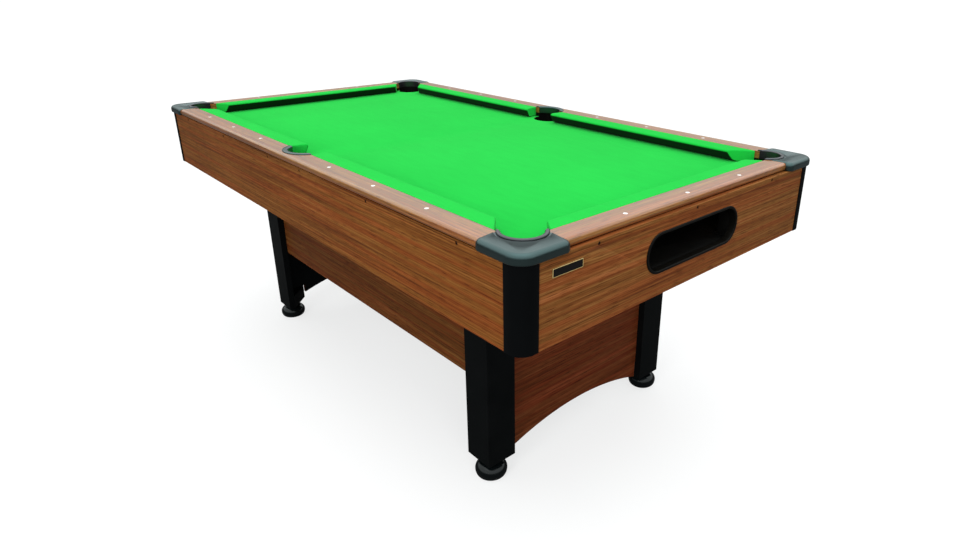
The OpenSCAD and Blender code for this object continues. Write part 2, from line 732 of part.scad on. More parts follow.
at_corner(1, 1) corner_post();  // corner_post_back_return
at_corner(-1, -1) corner_post();  // corner_post_front_far
at_corner(-1, 1) corner_post();  // corner_post_back_far
corner_blocks();
mirror([0, 1, 0]) stretcher();  // stretcher_front
stretcher();  // stretcher_back
cross_beams();
leg_boards();
at_corner(1, -1) leg();  // leg_front_return
at_corner(1, 1) leg();  // leg_back_return
at_corner(-1, -1) leg();  // leg_front_far
at_corner(-1, 1) leg();  // leg_back_far
leg_blocks();
mirror([0, 1, 0]) side_panel();  // side_panel_front
side_panel();  // side_panel_back
end_panel(arch_z);  // end_panel_return
mirror([1, 0, 0]) end_panel(far_arch_z);  // end_panel_far
mirror([0, 1, 0]) gully();  // gully_front
gully();  // gully_back
gully_cleats();
return_ramps();
ball_box();
return_rim();
name_plate();
sights();
apron_screws();
foot_inserts();
at_corner(1, -1) stud();  // stud_front_return
at_corner(1, 1) stud();  // stud_back_return
at_corner(-1, -1) stud();  // stud_front_far
at_corner(-1, 1) stud();  // stud_back_far
at_corner(1, -1) pad();  // pad_front_return
at_corner(1, 1) pad();  // pad_back_return
at_corner(-1, -1) pad();  // pad_front_far
at_corner(-1, 1) pad();  // pad_back_far
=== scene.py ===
import math
import bpy
import bmesh
from mathutils import Matrix, Vector


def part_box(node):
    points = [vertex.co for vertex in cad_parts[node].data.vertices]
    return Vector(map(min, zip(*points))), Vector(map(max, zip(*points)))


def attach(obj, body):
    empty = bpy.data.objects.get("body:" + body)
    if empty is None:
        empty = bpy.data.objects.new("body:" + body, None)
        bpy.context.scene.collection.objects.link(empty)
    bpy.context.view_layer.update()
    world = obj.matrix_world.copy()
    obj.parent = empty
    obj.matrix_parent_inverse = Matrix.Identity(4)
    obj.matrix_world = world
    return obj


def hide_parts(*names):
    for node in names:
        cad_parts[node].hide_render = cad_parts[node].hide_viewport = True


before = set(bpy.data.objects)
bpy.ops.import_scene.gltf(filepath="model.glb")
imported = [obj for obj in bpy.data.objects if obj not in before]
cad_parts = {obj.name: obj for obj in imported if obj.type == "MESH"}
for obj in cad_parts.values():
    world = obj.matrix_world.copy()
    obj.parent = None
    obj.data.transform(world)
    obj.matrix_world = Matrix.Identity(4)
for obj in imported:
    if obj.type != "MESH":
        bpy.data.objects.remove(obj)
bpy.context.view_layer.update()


# The studio. A white room with broad light from above, two softboxes at the
# front, and a pale floor. The camera stands off the ball-return corner.
def node(tree, kind, sockets=None, **settings):
    made = tree.nodes.new("ShaderNode" + kind)
    for name, value in settings.items():
        setattr(made, name, value)
    for name, value in (sockets or {}).items():
        if isinstance(value, bpy.types.NodeSocket):
            tree.links.new(value, made.inputs[name])
        else:
            made.inputs[name].default_value = value
    return made


def placed(name, data):
    made = bpy.data.objects.new(name, data)
    bpy.context.scene.collection.objects.link(made)
    return made


def studio_world():
    world = bpy.data.worlds.new("studio")
    bpy.context.scene.world = world
    world.use_nodes = True
    tree = world.node_tree
    tree.nodes.clear()
    up = node(tree, "SeparateXYZ", {0: node(tree, "TexCoord").outputs["Generated"]}).outputs["Z"]
    height = node(tree, "MapRange", {"Value": up, "From Min": -0.02, "From Max": 0.70,
                                     "To Min": 0.03, "To Max": 1.0}, interpolation_type="SMOOTHSTEP")
    mirrored = node(tree, "MapRange", {"Value": up, "From Min": 0.11, "From Max": 0.44,
                                       "To Min": 0.03, "To Max": 1.75}, interpolation_type="SMOOTHSTEP")
    overhead = node(tree, "MapRange", {"Value": up, "From Min": 0.70, "From Max": 0.98,
                                       "To Min": 0.0, "To Max": 1.0}, interpolation_type="SMOOTHSTEP")
    mirrored = node(tree, "Math", {0: mirrored.outputs["Result"], 1: overhead.outputs["Result"]},
                    operation="ADD")
    path = node(tree, "LightPath")
    shine = node(tree, "Mix", {0: path.outputs["Is Glossy Ray"], 2: height.outputs["Result"],
                               3: mirrored.outputs[0]}, data_type="FLOAT")
    room = node(tree, "Background", {"Color": (0.93, 1.0, 1.0, 1.0), "Strength": shine.outputs[0]})
    backdrop = node(tree, "Background", {"Color": (1.0, 1.0, 1.0, 1.0), "Strength": 1.0})
    mixed = node(tree, "MixShader", {0: path.outputs["Is Camera Ray"], 1: room.outputs[0],
                                     2: backdrop.outputs[0]})
    node(tree, "OutputWorld", {"Surface": mixed.outputs[0]})


def studio_floor():
    reach = 90.0
    mesh = bpy.data.meshes.new("floor")
    plan = [(-reach, -reach, 0), (reach, -reach, 0), (reach, reach, 0), (-reach, reach, 0)]
    mesh.from_pydata(plan, [], [(0, 1, 2, 3)])
    paper = bpy.data.materials.new("pale_floor")
    paper.use_nodes = True
    tree = paper.node_tree
    tree.nodes.clear()
    paper_white = node(tree, "BsdfDiffuse", {"Color": (0.90, 0.90, 0.90, 1.0)})
    lit = node(tree, "Emission", {"Color": (1.0, 1.0, 1.0, 1.0), "Strength": 1.0})
    shown = node(tree, "MixShader", {0: 0.70, 1: paper_white.outputs[0], 2: lit.outputs[0]})
    bounced = node(tree, "BsdfDiffuse", {"Color": (0.13, 0.13, 0.13, 1.0)})
    seen = node(tree, "LightPath").outputs["Is Camera Ray"]
    mixed = node(tree, "MixShader", {0: seen, 1: bounced.outputs[0], 2: shown.outputs[0]})
    node(tree, "OutputMaterial", {"Surface": mixed.outputs[0]})
    mesh.materials.append(paper)
    placed("floor", mesh)


def studio_light(name, kind, energy, place, target, **settings):
    data = bpy.data.lights.new(name, kind)
    data.energy = energy
    for key, value in settings.items():
        setattr(data, key, value)
    light = placed(name, data)
    light.visible_glossy = False
    light.matrix_world = Matrix.LocRotScale(
        Vector(place), (Vector(place) - Vector(target)).to_track_quat("Z", "Y"), None)


def studio_camera(azimuth, elevation, roll, place, lens, shift):
    away = Vector((math.sin(azimuth) * math.cos(elevation), -math.cos(azimuth) * math.cos(elevation),
                   math.sin(elevation)))
    right = Vector((0, 0, 1)).cross(away).normalized()
    up = away.cross(right)
    across = math.cos(roll) * right + math.sin(roll) * up
    upward = math.cos(roll) * up - math.sin(roll) * right
    data = bpy.data.cameras.new("camera")
    data.sensor_fit = "HORIZONTAL"
    data.sensor_width = 36.0
    data.lens = lens
    data.shift_x, data.shift_y = shift
    camera = placed("camera", data)
    camera.matrix_world = Matrix.Translation(place) @ Matrix((across, upward, away)).transposed().to_4x4()
    bpy.context.scene.camera = camera


bpy.context.scene.view_settings.view_transform = "Standard"
studio_world()
studio_floor()
studio_light("overhead", "SUN", 1.9, (-0.5, 0.6, 5.0), (0, 0, 0), angle=math.radians(70))
for name, power, place in (("left_softbox", 88.0, (1.7, -4.0, 1.9)),
                           ("right_softbox", 68.0, (4.6, -2.0, 1.9))):
    studio_light(name, "AREA", power, place, (0, 0, 0.5), shape="RECTANGLE", size=1.6, size_y=1.4)
studio_camera(math.radians(47.007), math.radians(21.811), math.radians(0.441),
              (1.7838, -1.2436, 1.2650), 24.41, (-0.0473, -0.0310))


# Pieces are made here in millimetres, in the table's own frame, and are
# stored in metres with their origins at the frame's origin.
mm = 0.001


def size_of(name):
    low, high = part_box(name)
    return Vector(low) / mm, Vector(high) / mm


def finish_mesh(mesh, corner=35):
    mesh.polygons.foreach_set("use_smooth", [True] * len(mesh.polygons))
    mesh.set_sharp_from_angle(angle=math.radians(corner))
    mesh.update()


def add_piece(name, mesh, material, body, replaced, corner=35):
    finish_mesh(mesh, corner)
    if not any(mesh.materials):
        mesh.materials.clear()
        mesh.materials.append(material)
    piece = placed(name, mesh)
    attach(piece, body)
    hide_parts(*replaced)
    return piece


def mesh_from(name, points, faces):
    mesh = bpy.data.meshes.new(name)
    mesh.from_pydata([Vector(p) * mm for p in points], [], faces)
    shell = bmesh.new()
    shell.from_mesh(mesh)
    bmesh.ops.remove_doubles(shell, verts=shell.verts, dist=0.01 * mm)
    bmesh.ops.recalc_face_normals(shell, faces=shell.faces)
    shell.to_mesh(mesh)
    shell.free()
    return mesh


def prism(name, lower, upper):
    """A closed solid between two outlines of as many points."""
    n = len(lower)
    sides = [(k, (k + 1) % n, n + (k + 1) % n, n + k) for k in range(n)]
    return mesh_from(name, [*lower, *upper], sides + [tuple(range(n)), tuple(range(n, 2 * n))])


def joined(name, meshes):
    whole = bmesh.new()
    for part in meshes:
        whole.from_mesh(part)
    mesh = bpy.data.meshes.new(name)
    whole.to_mesh(mesh)
    whole.free()
    return mesh


def turned(mesh, sx, sy):
    """The mesh of the back return corner, moved to the corner at sx, sy."""
    copy = mesh.copy()
    copy.transform(Matrix.Diagonal((sx, sy, 1, 1)))
    if sx * sy < 0:
        copy.flip_normals()
    return copy


corners = {"front_return": (1, -1), "back_return": (1, 1), "front_far": (-1, -1), "back_far": (-1, 1)}
half_l = size_of("apron_return_end")[1].x
half_w = size_of("apron_back")[1].y
rail_low, rail_high = size_of("rail_back")
rail_top, rail_under = rail_high.z, rail_low.z
wood_y = rail_low.y
wood_x = size_of("rail_return_end")[0].x
cloth_top = size_of("bed_cloth")[1].z
cap_high = size_of("corner_cap_back_return")[1]


# The cherry-grain foil on the rails, aprons and panels: long dark and light
# streaks, a slow change of tone, and short dark pores, under a satin lacquer.
def ramp(tree, value, stops):
    made = node(tree, "ValToRGB", {0: value})
    for at, colour in stops[2:]:
        made.color_ramp.elements.new(at)
    for element, (at, colour) in zip(made.color_ramp.elements, sorted(stops)):
        element.position = at
        element.color = (*colour, 1.0)
    return made.outputs["Color"]


def stretched_noise(tree, along, long, fine, detail=3.0, roughness=0.55):
    scale = [fine, fine, fine]
    scale["XYZ".index(along)] = long
    where = node(tree, "Mapping", {"Vector": node(tree, "TexCoord").outputs["Object"], "Scale": scale,
                                   "Location": (3.1, 1.7, 0.4)})
    return node(tree, "TexNoise", {"Vector": where.outputs[0], "Scale": 1.0, "Detail": detail,
                                   "Roughness": roughness}).outputs["Fac"]


def noise(tree, scale, detail, roughness=0.5):
    where = node(tree, "TexCoord").outputs["Object"]
    return node(tree, "TexNoise", {"Vector": where, "Scale": scale, "Detail": detail,
                                   "Roughness": roughness}).outputs["Fac"]


def weighted(tree, *parts):
    """The sum of some values, each times its weight."""
    value, weight = parts[0]
    total = node(tree, "Math", {0: value, 1: weight}, operation="MULTIPLY").outputs[0]
    for value, weight in parts[1:]:
        total = node(tree, "Math", {0: value, 1: weight, 2: total}, operation="MULTIPLY_ADD").outputs[0]
    return total


def multiplied(tree, colour, other):
    made = node(tree, "Mix", {0: 1.0, 6: colour, 7: other}, data_type="RGBA", blend_type="MULTIPLY")
    return made.outputs[2]


def uneven(tree, shader, value, low, high, first=0.0, last=1.0):
    """Roughness that follows a value between two limits."""
    worn = node(tree, "MapRange", {"Value": value, "From Min": first, "From Max": last,
                                   "To Min": low, "To Max": high})
    tree.links.new(worn.outputs["Result"], shader.inputs["Roughness"])


def principled(name, colour, roughness, **sockets):
    material = bpy.data.materials.new(name)
    material.use_nodes = True
    material.diffuse_color = (*colour, 1.0)
    shader = material.node_tree.nodes["Principled BSDF"]
    shader.inputs["Base Color"].default_value = (*colour, 1.0)
    shader.inputs["Roughness"].default_value = roughness
    for key, value in sockets.items():
        shader.inputs[key.replace("_", " ")].default_value = value
    return material, material.node_tree, shader


def bump(tree, shader, height, strength, distance):
    made = node(tree, "Bump", {"Height": height, "Strength": strength, "Distance": distance})
    tree.links.new(made.outputs["Normal"], shader.inputs["Normal"])


# The tone factor scales a copy's whole colour. On the end aprons and rails it is painted light, on the panels
# painted shade.
def cherry(name, along, tone, roughness, coat, shine=0.08):
    material, tree, shader = principled(name, (0.22, 0.07, 0.012), roughness, Coat_Weight=coat,
                                        Coat_Roughness=0.28, Specular_IOR_Level=shine)
    streaks = stretched_noise(tree, along, 2.8, 250.0, 4.0, 0.6)
    bands = stretched_noise(tree, along, 0.7, 34.0, 3.0, 0.5)
    lines = stretched_noise(tree, along, 3.5, 520.0, 2.0, 0.5)
    mixed = weighted(tree, (streaks, 0.50), (bands, 0.22), (lines, 0.28))
    mean = Vector((0.200, 0.067, 0.0145)) * Vector(tone)
    shades = [(0.36, Vector((0.46, 0.38, 0.44))), (0.64, Vector((1.60, 1.95, 2.5))),
              (0.44, Vector((0.74, 0.69, 0.70))), (0.50, Vector((1.0, 1.0, 1.0))),
              (0.56, Vector((1.24, 1.34, 1.48)))]
    figure = ramp(tree, mixed, [(at, tuple(mean * shade)) for at, shade in shades])
    blush = ramp(tree, stretched_noise(tree, along, 1.3, 75.0, 2.0),
                 [(0.44, (0.96, 1.02, 1.0)), (0.60, (1.05, 0.84, 0.86))])
    pores = ramp(tree, stretched_noise(tree, along, 22.0, 800.0, 1.0),
                 [(0.33, (0.42, 0.36, 0.34)), (0.42, (1.0, 1.0, 1.0))])
    tree.links.new(multiplied(tree, multiplied(tree, figure, blush), pores), shader.inputs["Base Color"])
    uneven(tree, shader, bands, roughness - 0.05, roughness + 0.07)
    bump(tree, shader, pores, 0.25, 0.00012)
    return material


cherry_side = cherry("cherry_along_the_side", "X", (0.98, 0.96, 0.92), 0.48, 0.0)
# The end aprons' copy is lighter and cooler than the sides': painted light on the end faces.
cherry_end_painted_light = cherry("cherry_along_the_end_painted_light", "Y", (1.06, 1.13, 1.30), 0.48, 0.0)
# The rails' copies are lighter than the aprons', the end rails more so: painted light and sheen falling on
# the rail tops.
rail_side_wood_painted_light = cherry("rail_cherry_side_painted_light", "X", (1.10, 1.20, 1.0), 0.38, 0.7, 0.5)
rail_end_wood_painted_light = cherry("rail_cherry_end_painted_light", "Y", (1.20, 1.35, 1.35), 0.38, 0.7, 0.5)


# The rails: boards with a full round outer edge, mitred under the corner
# caps and cut round where the pockets stand. The end rails are broader.
def quarter(steps):
    """Angles that step through a quarter turn."""
    return [math.pi / 2 * k / steps for k in range(steps + 1)]


def swept_rail(name, width, half, reach, middle):
    """A rail along X whose outer edge is at y = reach, cut at 45 degrees at both ends."""
    thick = rail_top - rail_under
    r = thick / 2
    steps = 20
    outline = [(reach - r + r * math.cos(a), rail_under + r + r * math.sin(a))
               for a in (-math.pi / 2 + math.pi * k / steps for k in range(steps + 1))]
    inner = reach - width
    lip = 1.2
    outline += [(inner + lip, rail_top)]
    outline += [(inner + lip - lip * math.sin(a), rail_top - lip + lip * math.cos(a))
                for a in quarter(4)[1:]]
    outline += [(inner, rail_under)]
    ends = [[(side * (half + middle * (y - reach)), y, z) for y, z in outline] for side in (-1, 1)]
    return prism(name, *ends)


def upright_cutter(outline, low, high):
    return placed("cutter", prism("cutter", [(*p, low) for p in outline], [(*p, high) for p in outline]))


def cylinder_cutter(x, y, r, low, high):
    turns = [2 * math.pi * k / 96 for k in range(96)]
    return upright_cutter([(x + r * math.cos(a), y + r * math.sin(a)) for a in turns], low, high)


def cut_away(mesh, cutters):
    work = placed("work", mesh)
    for cutter in cutters:
        cut = work.modifiers.new("cut", "BOOLEAN")
        cut.operation, cut.solver, cut.object = "DIFFERENCE", "MANIFOLD", cutter
    made = bpy.data.meshes.new_from_object(work.evaluated_get(bpy.context.evaluated_depsgraph_get()))
    for used in [work, *cutters]:
        bpy.data.objects.remove(used)
    return made


corner_in_x, corner_in_y, corner_r = 93.0, 89.5, 44.0
side_in, side_r = 84.5, 59.0
corner_x, corner_y, side_y = half_l - corner_in_x, half_w - corner_in_y, half_w - side_in
hole_room = 2.5
plan_r = 37.0


def corner_trim():
    """A cutter for the corner of the rails: all that lies outside their rounded plan."""
    x, y, r = rail_high.x, rail_high.y, plan_r
    outline = [(x - r + r * math.cos(a), y - r + r * math.sin(a))
               for a in quarter(24)]
    outline = [(x + 20, y - r), *outline, (x - r, y + 20), (x + 20, y + 20)]
    return upright_cutter(outline, rail_under - 6, rail_top + 20)


swap_xy = Matrix(((0, 1, 0, 0), (1, 0, 0, 0), (0, 0, 1, 0), (0, 0, 0, 1)))
for rail, turn, half, reach, wood in (
        ("rail_front", math.pi, rail_high.x, rail_high.y, rail_side_wood_painted_light),
        ("rail_back", 0, rail_high.x, rail_high.y, rail_side_wood_painted_light),
        ("rail_return_end", -math.pi / 2, rail_high.y, rail_high.x, rail_end_wood_painted_light),
        ("rail_far_end", math.pi / 2, rail_high.y, rail_high.x, rail_end_wood_painted_light)):
    along_end = abs(turn) == math.pi / 2
    width = reach - (wood_x if along_end else wood_y)
    other = (rail_high.y - wood_y) if along_end else (rail_high.x - wood_x)
    mesh = swept_rail(rail, width, half, reach, other / width)
    cx, cy = (corner_y, corner_x) if along_end else (corner_x, corner_y)
    cutters = [cylinder_cutter(s * cx, cy, corner_r + hole_room, rail_under - 5, rail_top + 5)
               for s in (-1, 1)]
    if not along_end:
        cutters.append(cylinder_cutter(0, side_y, side_r + hole_room, rail_under - 5, rail_top + 5))
    trims = [corner_trim() for s in (-1, 1)]
    if along_end:
        for trim in trims:
            trim.data.transform(swap_xy)
            trim.data.flip_normals()
    trims[0].data.transform(Matrix.Diagonal((-1, 1, 1, 1)))
    trims[0].data.flip_normals()
    mesh = cut_away(mesh, cutters + trims)
    mesh.transform(Matrix.Rotation(turn, 4, "Z"))
    add_piece(rail, mesh, wood, "table", [rail])


# Boards that are cut square, with their sharp edges just broken: the aprons
# and panels in cherry foil, black foil on the legs, bare board underneath.
def broken_edges(name, width, shortest=12.0):
    """A copy of a node's mesh with whole faces and softened long edges."""
    board = bmesh.new()
    board.from_mesh(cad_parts[name].data)
    bmesh.ops.remove_doubles(board, verts=board.verts, dist=0.02 * mm)
    bmesh.ops.dissolve_limit(board, angle_limit=math.radians(0.5), verts=board.verts, edges=board.edges)
    edges = [e for e in board.edges if e.is_manifold and e.calc_face_angle(0) > math.radians(40)
             and e.calc_length() > shortest * mm]
    bmesh.ops.bevel(board, geom=edges, offset=width * mm, segments=2, profile=0.5, affect="EDGES",
                    clamp_overlap=False)
    mesh = bpy.data.meshes.new(name)
    board.to_mesh(mesh)
    board.free()
    return mesh


for name, wood in (("apron_front", cherry_side), ("apron_back", cherry_side),
                   ("apron_return_end", cherry_end_painted_light), ("apron_far_end", cherry_end_painted_light)):
    add_piece(name, broken_edges(name, 0.5), wood, "table", [name], 20)

# The panels get darker copies of the cherry: painted shade for the dark they stand in, set back under the
# aprons.
panel_side_wood_painted_shade = cherry("panel_cherry_side_painted_shade", "X", (0.64, 0.62, 0.66), 0.48, 0.0)
panel_end_wood_painted_shade = cherry("panel_cherry_end_painted_shade", "Y", (0.66, 0.49, 0.70), 0.48, 0.0)


def black_foil(name, roughness, shine):
    material, tree, shader = principled(name, (0.0025, 0.0030, 0.0032), roughness, Specular_IOR_Level=shine)
    scuffs = noise(tree, 9.0, 5.0, 0.7)
    uneven(tree, shader, scuffs, roughness - 0.06, roughness + 0.10, 0.35, 0.7)
    tint = ramp(tree, scuffs, [(0.35, (0.0020, 0.0024, 0.0026)), (0.75, (0.0036, 0.0041, 0.0043))])
    tree.links.new(tint, shader.inputs["Base Color"])
    bump(tree, shader, noise(tree, 420.0, 3.0), 0.12, 0.00015)
    return material


leg_black = black_foil("black_leg_foil", 0.50, 0.06)
inside_black = black_foil("black_back_of_panel", 0.7, 0.08)


def face_inwards(mesh, axis, inward):
    """Gives the panel's back, the face that points inward, its black paint."""
    mesh.materials.append(inside_black)
    for polygon in mesh.polygons:
        if polygon.normal[axis] * inward > 0.5:
            polygon.material_index = 1


def board_piece(name, material, width=0.8):
    return add_piece(name, broken_edges(name, width), material, "table", [name], 20)


for name, inward in (("side_panel_front", 1), ("side_panel_back", -1)):
    piece = board_piece(name, panel_side_wood_painted_shade)
    face_inwards(piece.data, 1, inward)


# The end panels: the lower edge is a shallow arch, and the lower corners step
# in so that the panel clears the blocks at the feet.
def end_panel(name, side):
    low, high = size_of(name)
    known = [p.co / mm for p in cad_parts[name].data.vertices]
    arch_low = min(p.z for p in known if abs(p.y) > high.y * 0.75)
    inner = [abs(p.y) for p in known if p.z < arch_low + 1]
    y_low = max(inner)
    rise = 46.0
    arch_r = (y_low ** 2 + rise ** 2) / (2 * rise)
    steps = 64
    top_of_step = min(p.z for p in known if abs(p.y) > y_low + 5)
    outline = [(y, arch_low + rise - arch_r + math.sqrt(arch_r ** 2 - y ** 2))
               for y in (-y_low + 2 * y_low * k / steps for k in range(steps + 1))]
    outline += [(y_low, top_of_step), (high.y, top_of_step), (high.y, high.z),
                (low.y, high.z), (low.y, top_of_step), (-y_low, top_of_step)]
    mesh = prism(name, *([(x, *p) for p in outline] for x in (low.x, high.x)))
    piece = add_piece(name, mesh, panel_end_wood_painted_shade, "table", [name])
    face_inwards(mesh, 0, -side)
    edge = piece.modifiers.new("broken_edge", "BEVEL")
    edge.width, edge.segments, edge.limit_method, edge.angle_limit = 0.6 * mm, 2, "ANGLE", math.radians(40)


end_panel("end_panel_return", 1)
end_panel("end_panel_far", -1)
for corner in corners:
    board_piece("leg_" + corner, leg_black, 1.0)
board_piece("leg_blocks", leg_black, 0.6)


# The hidden frame of bare fibreboard and softwood: bed board, blocking, glue
# blocks, stretchers, beams, leg boards and the gullies' cleats. The rail blocking is coloured black instead,
# as painted shade where it shows inside the pockets.
def bare_board():
    material, tree, shader = principled("bare_board", (0.52, 0.36, 0.20), 0.75)
    fibre = noise(tree, 650.0, 4.0, 0.7)
    grain = stretched_noise(tree, "X", 8.0, 90.0, 4.0, 0.6)
    colour = ramp(tree, weighted(tree, (grain, 0.5), (fibre, 0.5)),
                  [(0.3, (0.30, 0.19, 0.095)), (0.7, (0.66, 0.49, 0.30)), (0.5, (0.50, 0.345, 0.19))])
    tree.links.new(colour, shader.inputs["Base Color"])
    bump(tree, shader, fibre, 0.3, 0.0002)
    return material


plain_board = bare_board()
# Painted shade: the rail blocking gets the black of the panel backs, dark like the shade inside the pockets.
board_piece("rail_blocking", inside_black, 0.5)
for name in ("bed_board", "corner_blocks", "stretcher_front", "stretcher_back",
             "cross_beams", "leg_boards", "gully_cleats"):
    board_piece(name, plain_board, 0.5)


# The bed cloth: one sheet of napped wool cloth stretched over the bed board.
# It folds over the edge of each pocket hole and is stapled below.
def baize(name, painted_undercut_shade=False):
    green = (0.0120, 0.448, 0.049)
    material, tree, shader = principled(name, green, 0.92, Sheen_Weight=0.06, Sheen_Roughness=0.5,
                                        Sheen_Tint=(0.35, 1.0, 0.45, 1.0), Specular_IOR_Level=0.06)
    nap = noise(tree, 900.0, 3.0, 0.7)
    brushed = stretched_noise(tree, "X", 14.0, 60.0, 3.0, 0.6)
    cloud = noise(tree, 3.5, 3.0, 0.55)
    slanted = node(tree, "Mapping", {"Vector": node(tree, "TexCoord").outputs["Object"],
                                     "Rotation": (0, 0, 0.95)})
    twill = node(tree, "TexWave", {"Vector": slanted.outputs[0], "Scale": 190.0, "Distortion": 1.5,
                                   "Detail": 2.0}).outputs["Fac"]
    mixed = weighted(tree, (brushed, 0.35), (cloud, 0.45), (nap, 0.2))
    colour = ramp(tree, mixed, [(0.32, tuple(c * 0.92 for c in green)),
                                (0.68, tuple(c * 1.07 for c in green))])
    # Painted shade: faces that point downward, the face cut under the nose, are darkened to a near
    # black-green.
    if painted_undercut_shade:
        undercut_shade_mask = node(tree, "SeparateXYZ", {0: node(tree, "NewGeometry").outputs["Normal"]}).outputs["Z"]
        undercut_shade_mask = node(tree, "MapRange", {"Value": undercut_shade_mask, "From Min": -0.32, "From Max": -0.06})
        shade = ramp(tree, undercut_shade_mask.outputs["Result"], [(0.0, (0.09, 0.026, 0.045)), (1.0, (1.0, 1.0, 1.0))])
        colour = multiplied(tree, colour, shade)
    tree.links.new(colour, shader.inputs["Base Color"])
    bump(tree, shader, weighted(tree, (twill, 0.3), (nap, 0.7)), 0.35, 0.00035)
    return material


cloth_green = baize("green_baize")
# The cushions' copy of the cloth, with painted shade on its downward faces.
cushion_green_painted_shade = baize("cushion_baize_painted_shade", True)
bed_low, bed_high = size_of("bed_cloth")
cloth_thick = bed_high.z - bed_low.z
hole_r = corner_r + 2.0
side_hole_in, side_hole_r = 54.5, 56.0
side_hole_y = half_w - side_hole_in
holes = [(sx * corner_x, sy * corner_y, hole_r) for sx, sy in corners.values()]
holes += [(0, s * side_hole_y, side_hole_r) for s in (-1, 1)]
fold_r = 1.4


def bed_cloth_mesh():
    """The flat cloth, and a strip rolled over the edge of each pocket hole."""
    sheet = bmesh.new()
    top, steps = bed_high.z, 72
    turns = [[2 * math.pi * k / steps for k in range(steps + 1)]] * 4
    reach = math.asin((bed_high.y - side_hole_y) / (side_hole_r + fold_r))
    turns += [[s * (math.pi + reach) - s * (math.pi + 2 * reach) * k / steps for k in range(steps + 1)]
              for s in (1, -1)]
    arcs = [[(x + (r + fold_r) * math.cos(a), y + (r + fold_r) * math.sin(a), top) for a in angles]
            for (x, y, r), angles in zip(holes, turns)]
    arcs[4], arcs[5] = arcs[5], arcs[4]
    border = [(bed_low.x, bed_low.y, top), *arcs[5], (bed_high.x, bed_low.y, top),
              (bed_high.x, bed_high.y, top), *arcs[4][::-1], (bed_low.x, bed_high.y, top)]
    edges = []
    for loop in [border] + [arc[:-1] for arc in arcs[:4]]:
        ring = [sheet.verts.new(Vector(p) * mm) for p in loop]
        edges += [sheet.edges.new((ring[k - 1], ring[k])) for k in range(len(ring))]
    bmesh.ops.triangle_fill(sheet, edges=edges, use_beauty=True, normal=(0, 0, 1))
    for (x, y, r), angles in zip(holes, turns):
        rolled = [(r + fold_r * (1 - math.sin(a)), top - fold_r * (1 - math.cos(a)))
                  for a in quarter(4)]
        made = [[sheet.verts.new(Vector((x + q * math.cos(a), y + q * math.sin(a), z)) * mm) for a in angles]
                for q, z in rolled]
        for upper, lower in zip(made, made[1:]):
            for k in range(steps):
                sheet.faces.new((upper[k], upper[k + 1], lower[k + 1], lower[k]))
    bmesh.ops.remove_doubles(sheet, verts=sheet.verts, dist=0.02 * mm)
    bmesh.ops.recalc_face_normals(sheet, faces=sheet.faces)
    if sum(f.normal.z * f.calc_area() for f in sheet.faces) < 0:
        bmesh.ops.reverse_faces(sheet, faces=sheet.faces)
    mesh = bpy.data.meshes.new("bed_cloth")
    sheet.to_mesh(mesh)
    sheet.free()
    return mesh


cloth = add_piece("bed_cloth", bed_cloth_mesh(), cloth_green, "table", ["bed_cloth"], 60)
thickness = cloth.modifiers.new("cloth_thickness", "SOLIDIFY")
thickness.thickness, thickness.offset = (cloth_thick - 0.1) * mm, -1.0


# The cushions: a rubber nose on a wooden backing, wrapped tight in the same cloth,
# whose downward faces carry painted shade. The face is cut under, and the ends are cut at the pockets.
nose_drop, foot_back = 4.5, 14.0


def cushion_section(width):
    """Top and bottom of the cushion at each distance from the rail."""
    foot = cloth_top + 0.4
    section = [(0.0, rail_top - 1.6), (0.5, rail_top - 0.6), (1.6, rail_top)]
    section += [(width - 12 - (width - 14) * (1 - k / 6), rail_top) for k in range(1, 7)]
    section += [(width - 12 + 12 * math.sin(a), rail_top - nose_drop * (1 - math.cos(a)))
                for a in quarter(8)[1:]]
    found = []
    for u, top in section:
        under = max(0.0, (u - (width - foot_back)) / foot_back)
        lip = rail_top - nose_drop - 0.6
        found.append((u, top, min(foot + (lip - 3.0 - foot) * under ** 1.15 + 3.0 * under ** 6, top - 0.4)))
    return found


def cushion_mesh(name, width, start, end, place):
    section = cushion_section(width - 0.3)
    spans = 48
    n = len(section)
    points = []
    for j in range(spans + 1):
        for row in (1, 2):
            for entry in section:
                u = entry[0]
                at = start(u) + (end(u) - start(u)) * j / spans
                points.append(place(at, u, entry[row]))
    faces = []
    for j in range(spans):
        a, b = j * 2 * n, (j + 1) * 2 * n
        for k in range(n - 1):
            faces.append((a + k, a + k + 1, b + k + 1, b + k))
            faces.append((a + n + k, b + n + k, b + n + k + 1, a + n + k + 1))
        faces.append((a, b, b + n, a + n))
        faces.append((a + n - 1, a + 2 * n - 1, b + 2 * n - 1, b + n - 1))
    for a in (0, spans * 2 * n):
        faces += [(a + k, a + k + 1, a + n + k + 1, a + n + k) for k in range(n - 1)]
    return mesh_from(name, points, faces)


def wrapped(mesh):
    """Cloth pulled round the shape: fine even faces with softened edges."""
    work = placed("work", mesh)
    grid = work.modifiers.new("even", "REMESH")
    grid.mode, grid.voxel_size, grid.use_smooth_shade = "VOXEL", 2.0 * mm, True
    soften = work.modifiers.new("soften", "SMOOTH")
    soften.factor, soften.iterations = 0.5, 3
    made = bpy.data.meshes.new_from_object(work.evaluated_get(bpy.context.evaluated_depsgraph_get()))
    bpy.data.objects.remove(work)
    return made


